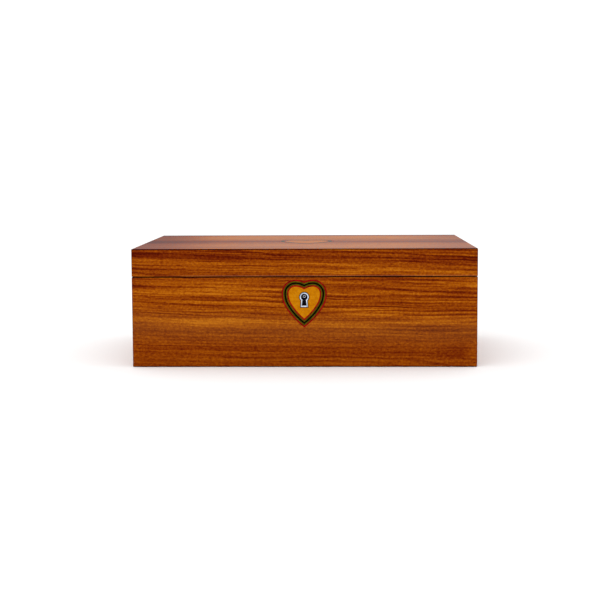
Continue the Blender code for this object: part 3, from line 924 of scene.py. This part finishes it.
def four_boards(part, kind, low_z, high_z, body, above, cutters):
    """The boards round the body or the lid, mitred also to the board above them, if there is one."""
    ends, sides = [(-1, 0, 0), (1, 0, 0)], [(0, -1, 0), (0, 1, 0)]
    plans = {
        "front": (LEFT, FRONT, RIGHT, FRONT + BOARD, (0, -1, 0), ends, [FRONT_VENEER, INSIDE_ALONG_X]),
        "back": (LEFT, BACK - BOARD, RIGHT, BACK, (0, 1, 0), ends, [BACK_VENEER, INSIDE_ALONG_X]),
        "left": (LEFT, FRONT, LEFT + BOARD, BACK, (-1, 0, 0), sides, [LEFT_VENEER, INSIDE_ALONG_Y]),
        "right": (RIGHT - BOARD, FRONT, RIGHT, BACK, (1, 0, 0), sides, [RIGHT_VENEER, INSIDE_ALONG_Y]),
    }
    for side, (low_x, low_y, high_x, high_y, outward, neighbours, finishes) in plans.items():
        low, high = (low_x, low_y, low_z), (high_x, high_y, high_z)
        board(f"{part}_{side}_board", f"{part}_{side}_{kind}", low, high,
              outward, neighbours + above, finishes, body, cutters.get(side, ()))


def leaf_recesses(low_z, way):
    return [recess(leaf_corners(x, low_z), (0, 1, way)) for x in (-HINGE_X, HINGE_X)]


def body_boards():
    front_cutters = [
        heart_pocket(FRONT_HEART_SCALE, front_place(FRONT_HEART_Z)),
        keyhole_bar(FRONT - THROUGH, FRONT_INNER + THROUGH),
    ]
    front_cutters += [recess(corners, (0, 1, 1)) for corners in lock_corners().values()]
    cutters = {"front": front_cutters, "back": leaf_recesses(RIM - HINGE_LEAF_THICKNESS, 1)}
    four_boards("body", "wall", 0.0, RIM, "box", [], cutters)


def lid_boards():
    cutters = {"front": [recess(strike_corners(), (0, 1, -1))], "back": leaf_recesses(LID_BOTTOM, -1)}
    four_boards("lid", "rail", LID_BOTTOM, TOP, "lid", [(0, 0, 1)], cutters)
    all_round = [(-1, 0, 0), (1, 0, 0), (0, -1, 0), (0, 1, 0)]
    board("lid_top_board", "lid_top_panel", (LEFT, FRONT, TOP - BOARD), (RIGHT, BACK, TOP), (0, 0, 1),
          all_round, [TOP_VENEER, INSIDE_FLAT], "lid", [heart_pocket(LID_HEART_SCALE, LID_PLACE)])


def floor_board():
    shape = block(*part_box("body_floor"))
    round_edges(shape, shape.edges, SMALL_EDGE_ROUND, SMALL_EDGE_SEGMENTS)
    as_piece("floor_board", shape, [INSIDE_FLAT], "box", "body_floor")


# Hearts and keyhole

def heart(prefix, scale, place, body, golden, holes=()):
    """The five dyed strings and the golden field, flush with the board round them."""
    outer = BANDING_WIDTH / 2
    for string_name, width, dye in STRINGS:
        ring = [heart_outline(scale, outer), heart_outline(scale, outer - width + STRING_GAP)]
        as_piece(f"{prefix}_{string_name}_string", plate(ring, INLAY_THICKNESS, place), [dye], body,
                 prefix + "_banding")
        outer -= width
    field = plate([heart_outline(scale, outer), *holes], INLAY_THICKNESS, place)
    as_piece(prefix + "_golden_field", field, [golden], body, prefix + "_field")


def front_heart():
    hole = keyhole_outline(SURROUND, SURROUND_GAP, KEYHOLE_Z - FRONT_HEART_Z)
    heart("front_heart", FRONT_HEART_SCALE, front_place(FRONT_HEART_Z), "box", FRONT_GOLD, [hole])


def lid_heart():
    heart("lid_heart", LID_HEART_SCALE, LID_PLACE, "lid", LID_GOLD)


def keyhole_surround():
    """The silvered ring, its edges rounded, with a painted dark reflection on them."""
    ring = [keyhole_outline(SURROUND), keyhole_outline(KEYHOLE)[::-1]]
    place = front_place(KEYHOLE_Z, SURROUND_PROUD)
    shape = plate(ring, INLAY_THICKNESS + SURROUND_PROUD, place, SURROUND_ROUND)
    dark_edges_from = FRONT - SURROUND_PROUD + BRIGHT_DEPTH
    # Painted dark reflection: the faces behind the ring's front get a dark metal
    for face in shape.faces:
        face.material_index = 0 if face.calc_center_median().y < dark_edges_from else 1
    as_piece("silvered_keyhole_surround", shape, [SILVER, PAINTED_DARK_REFLECTION], "box",
             "keyhole_surround")


# Screws

def screw_head(place, slot_angle):
    """A countersunk screw, its slotted head a little domed and flush at the place's own Z of 0."""
    radius = SCREW_RADIUS
    profile = [(radius * share, -depth) for share, depth in SCREW_DOME]
    profile += [(radius, -SCREW_RIM_DEPTH), (radius * SCREW_POINT_SHARE, -SCREW_DEPTH), (0, -SCREW_DEPTH)]
    slot = block((-radius * 2, -SCREW_SLOT_WIDTH / 2, -SCREW_SLOT_DEPTH),
                 (radius * 2, SCREW_SLOT_WIDTH / 2, PAST_FACE))
    slot.transform(Matrix.Rotation(slot_angle, 4, "Z"))
    shape = cut_out(turned(profile, Matrix.Identity(4)), [slot])
    shape.transform(place)
    return shape


def screw_seat(place):
    """The countersink that a screw sits in."""
    radius = SCREW_RADIUS + SCREW_SEAT_GAP
    floor_depth = SCREW_DEPTH + SCREW_SEAT_FLOOR
    profile = ((0, PAST_FACE), (radius, PAST_FACE), (radius, -SCREW_RIM_DEPTH),
               (radius * SCREW_POINT_SHARE, -floor_depth), (0, -floor_depth))
    return turned(profile, place)


def screw_seats(places):
    return [screw_seat(place) for place in places]


def screws(name, places, finish, body, node):
    """Several screws as one piece, each slot turned its own way."""
    shape = bmesh.new()
    for number, place in enumerate(places):
        head = screw_head(place, FIRST_SLOT_TURN + number * NEXT_SLOT_TURN)
        mesh = bpy.data.meshes.new("screw")
        head.to_mesh(mesh)
        head.free()
        shape.from_mesh(mesh)
        bpy.data.meshes.remove(mesh)
    as_piece(name, shape, [finish], body, node)


# Lock and strike

def lock_screw_places():
    """Four places on the lock's plate and two on its selvedge."""
    low, high = map(Vector, lock_corners()["plate"])
    plate_x = LOCK_PLATE_WIDTH / 2 - PLATE_SCREW_FROM_SIDE
    selvedge_x = LOCK_PLATE_WIDTH / 2 - SELVEDGE_SCREW_FROM_END
    heights = (low.z + PLATE_SCREW_FROM_SIDE, high.z - PLATE_SCREW_FROM_RIM)
    on_plate = [
        facing((0, 1, 0), (sign * plate_x, FRONT_INNER, height)) for sign in (-1, 1) for height in heights
    ]
    on_selvedge = [facing((0, 0, 1), (sign * selvedge_x, BOLT_Y, RIM)) for sign in (-1, 1)]
    return on_plate + on_selvedge


def lock_plate(screw_places):
    """The plate and its selvedge along the rim, with the bolt's slot."""
    low, high = map(Vector, lock_corners()["plate"])
    selvedge_z = RIM - LOCK_PLATE_THICKNESS
    section = [(low.y, low.z), (FRONT_INNER, low.z), (FRONT_INNER, RIM),
               (SELVEDGE_EDGE_Y, RIM), (SELVEDGE_EDGE_Y, selvedge_z), (low.y, selvedge_z)]
    across = Matrix.Translation((high.x, 0, 0)) @ Matrix.Rotation(math.pi / 2, 4, "Z") @ UPRIGHT
    shape = plate([section], LOCK_PLATE_WIDTH, across)
    round_edges(shape, shape.edges, HARDWARE_EDGE, HARDWARE_SEGMENTS)
    half_x, half_y = BOLT_WIDTH / 2, BOLT_THICKNESS / 2
    bolt_slot = block((-half_x, BOLT_Y - half_y, selvedge_z + BOLT_SLOT_FLOOR),
                      (half_x, BOLT_Y + half_y, RIM + PAST_FACE))
    shape = cut_out(shape, [bolt_slot, *screw_seats(screw_places)])
    as_piece("lock_plate", shape, [STEEL], "box", "lock")


def lock_bolt():
    """The bolt, drawn back below the rim."""
    half_x, half_y = BOLT_WIDTH / 2 - BOLT_GAP, BOLT_THICKNESS / 2 - BOLT_GAP
    shape = eased_block((-half_x, BOLT_Y - half_y, RIM - LOCK_PLATE_THICKNESS + BOLT_GAP),
                        (half_x, BOLT_Y + half_y, RIM - BOLT_SET_BACK))
    as_piece("lock_bolt", shape, [STEEL], "box", "lock")


def lock_case():
    """The case, with the keyway cut into it from the front."""
    low, high = lock_corners()["case"]
    keyway = keyhole_bar(low[1] - PAST_FACE, FRONT_INNER - LOCK_PLATE_THICKNESS - KEYWAY_FLOOR)
    shape = cut_out(eased_block(low, high), [keyway])
    # The case's very dark steel is painted shade seen through the keyway
    as_piece("lock_case", shape, [SHADE_DARK_STEEL], "box", "lock")


def lock_key_pin():
    """The hollow pin that the key turns on, bright at its end, with painted shade in its bore."""
    front_y = FRONT - SURROUND_PROUD + KEY_PIN_SET_BACK
    length = FRONT_INNER - LOCK_PLATE_THICKNESS - front_y
    profile = (
        (0, -KEY_PIN_BORE_DEPTH), (KEY_PIN_BORE_RADIUS, -KEY_PIN_BORE_DEPTH),
        (KEY_PIN_BORE_RADIUS, -KEY_PIN_CHAMFER), (KEY_PIN_BORE_RADIUS + KEY_PIN_CHAMFER, 0),
        (KEY_PIN_RADIUS - KEY_PIN_CHAMFER, 0), (KEY_PIN_RADIUS, -KEY_PIN_CHAMFER),
        (KEY_PIN_RADIUS, -length), (0, -length),
    )
    shape = turned(profile, facing((0, -1, 0), (0, front_y, KEYHOLE_Z)))
    for face in shape.faces:
        middle = face.calc_center_median()
        from_axis = math.hypot(middle.x, middle.z - KEYHOLE_Z)
        # Painted shade: the bore's faces get the very dark steel
        face.material_index = 1 if from_axis < KEY_PIN_BORE_RADIUS + SAME_DEPTH else 0
    as_piece("lock_key_pin", shape, [BRIGHT_STEEL, SHADE_DARK_STEEL], "box", "lock")


def lock():
    screw_places = lock_screw_places()
    lock_plate(screw_places)
    lock_bolt()
    lock_case()
    lock_key_pin()
    screws("lock_screws", screw_places, STEEL, "box", "lock")


def strike():
    """The plate under the lid that the bolt catches, with its slot and two screws."""
    low, high = map(Vector, strike_corners())
    middle = (low + high) / 2
    screw_x = high.x - SELVEDGE_SCREW_FROM_END
    places = [facing((0, 0, -1), (sign * screw_x, middle.y, low.z)) for sign in (-1, 1)]
    slot = block((-BOLT_WIDTH / 2, middle.y - BOLT_THICKNESS / 2, low.z - PAST_FACE),
                 (BOLT_WIDTH / 2, middle.y + BOLT_THICKNESS / 2, high.z + PAST_FACE))
    shape = cut_out(eased_block(low, high), [slot, *screw_seats(places)])
    as_piece("strike_plate", shape, [STEEL], "lid", "lock_strike")
    screws("strike_screws", places, STEEL, "lid", "lock_strike")


# Hinges

def on_hinge_axis(x):
    """A place on the line that the lid turns about, with its own Z axis along that line."""
    return facing((1, 0, 0), (x, HINGE_Y, HINGE_Z))


def knuckle(low_x, high_x):
    """One knuckle of a hinge: a short tube round the pin, its ends chamfered."""
    half = (high_x - low_x) / 2
    outer, shoulder = KNUCKLE_RADIUS, KNUCKLE_RADIUS - KNUCKLE_CHAMFER
    profile = (
        (KNUCKLE_BORE_RADIUS, -half), (shoulder, -half), (outer, -half + KNUCKLE_CHAMFER),
        (outer, half - KNUCKLE_CHAMFER), (shoulder, half), (KNUCKLE_BORE_RADIUS, half),
        (KNUCKLE_BORE_RADIUS, -half),
    )
    return turned(profile, on_hinge_axis((low_x + high_x) / 2))


def pin_bore(centre_x):
    """A cutter for the hole that the hinge's pin runs in."""
    radius, reach = KNUCKLE_BORE_RADIUS, HINGE_LENGTH
    return turned(((0, -reach), (radius, -reach), (radius, reach), (0, reach)), on_hinge_axis(centre_x))


def hinge_leaf(side, centre_x, part, body, low_z, numbers, screw_face):
    """One leaf of a hinge: its plate, its knuckles with the straps that carry them, and three screws."""
    low, high = map(Vector, leaf_corners(centre_x, low_z))
    length = HINGE_LENGTH / KNUCKLE_COUNT
    additions = []
    for number in numbers:
        low_x = low.x + number * length + KNUCKLE_GAP / 2
        high_x = low.x + (number + 1) * length - KNUCKLE_GAP / 2
        additions.append(block((low_x, BACK - STRAP_OVERLAP, low.z), (high_x, HINGE_Y, high.z)))
        additions.append(knuckle(low_x, high_x))
    shape = joined(eased_block(low, high), additions)
    face_z = high.z if screw_face > 0 else low.z
    screw_y = BACK - HINGE_LEAF_WIDTH * LEAF_SCREW_SHARE
    places = [
        facing((0, 0, screw_face), (centre_x + step * LEAF_SCREW_STEP, screw_y, face_z))
        for step in (-1, 0, 1)
    ]
    shape = cut_out(shape, [pin_bore(centre_x), *screw_seats(places)])
    node = f"hinge_{side}_{part}_leaf"
    as_piece(f"{side}_hinge_{part}_plate", shape, [BRASS], body, node)
    screws(f"{side}_hinge_{part}_screws", places, BRASS, body, node)


def hinge_pin(side, centre_x):
    """The pin, with both its ends domed."""
    half = HINGE_LENGTH / 2
    end = [(HINGE_PIN_RADIUS * share, half - depth) for share, depth in PIN_DOME]
    profile = [(radius, -height) for radius, height in end] + end[::-1]
    as_piece(f"{side}_hinge_rod", turned(profile, on_hinge_axis(centre_x)), [BRASS], "box",
             f"hinge_{side}_pin")


def hinge(side, centre_x):
    every = range(KNUCKLE_COUNT)
    hinge_leaf(side, centre_x, "body", "box", RIM - HINGE_LEAF_THICKNESS, every[0::2], 1)
    hinge_leaf(side, centre_x, "lid", "lid", LID_BOTTOM, every[1::2], -1)
    hinge_pin(side, centre_x)


# Room

def floor():
    """A plain pale floor."""
    shape = bmesh.new()
    bmesh.ops.create_circle(shape, cap_ends=True, segments=FLOOR_SIDES, radius=FLOOR_RADIUS)
    mesh = bpy.data.meshes.new("pale_floor")
    shape.to_mesh(mesh)
    shape.free()
    finish = Finish("pale_floor", {"Roughness": 0.9, "Specular IOR Level": 0.0})
    finish.colour((FLOOR_TONE, FLOOR_TONE, FLOOR_TONE, 1.0))
    mesh.materials.append(finish.material)
    made = bpy.data.objects.new("pale_floor", mesh)
    made.location.z = -FLOOR_DROP
    bpy.context.scene.collection.objects.link(made)


def soft_lamp():
    """A large soft lamp above the camera, to its left, turned towards the box."""
    lamp = bpy.data.lights.new("key", "AREA")
    lamp.shape = "SQUARE"
    lamp.size = LAMP_SIZE
    lamp.energy = LAMP_POWER
    made = bpy.data.objects.new("key", lamp)
    made.location = LAMP_PLACE
    made.rotation_euler = (Vector(LAMP_AIM) - Vector(LAMP_PLACE)).to_track_quat("-Z", "Y").to_euler()
    bpy.context.scene.collection.objects.link(made)


def even_light():
    room = bpy.data.worlds.new("pale_room")
    room.use_nodes = True
    background = room.node_tree.nodes["Background"]
    background.inputs["Color"].default_value = (1.0, 1.0, 1.0, 1.0)
    background.inputs["Strength"].default_value = ROOM_BRIGHTNESS
    bpy.context.scene.world = room


def camera():
    """The camera stands before the box, a little to its right, and looks down on it."""
    lens = bpy.data.cameras.new("camera")
    lens.sensor_width = SENSOR_WIDTH
    lens.lens = SENSOR_WIDTH * LENS_LENGTH / PICTURE_SIDE
    lens.shift_y = -(PICTURE_SIDE / 2 - AXIS_ROW) / PICTURE_SIDE
    made = bpy.data.objects.new("camera", lens)
    level = Matrix.Rotation(math.pi / 2 + CAMERA_PITCH, 4, "X")
    turn = Matrix.Rotation(CAMERA_YAW, 4, "Z") @ level @ Matrix.Rotation(CAMERA_ROLL, 4, "Z")
    made.matrix_world = Matrix.Translation(CAMERA_PLACE) @ turn
    bpy.context.scene.collection.objects.link(made)
    bpy.context.scene.camera = made


camera()
floor()
even_light()
soft_lamp()
bpy.context.scene.view_settings.view_transform = "Standard"

body_boards()
lid_boards()
floor_board()
front_heart()
lid_heart()
keyhole_surround()
lock()
strike()
hinge("left", -HINGE_X)
hinge("right", HINGE_X)
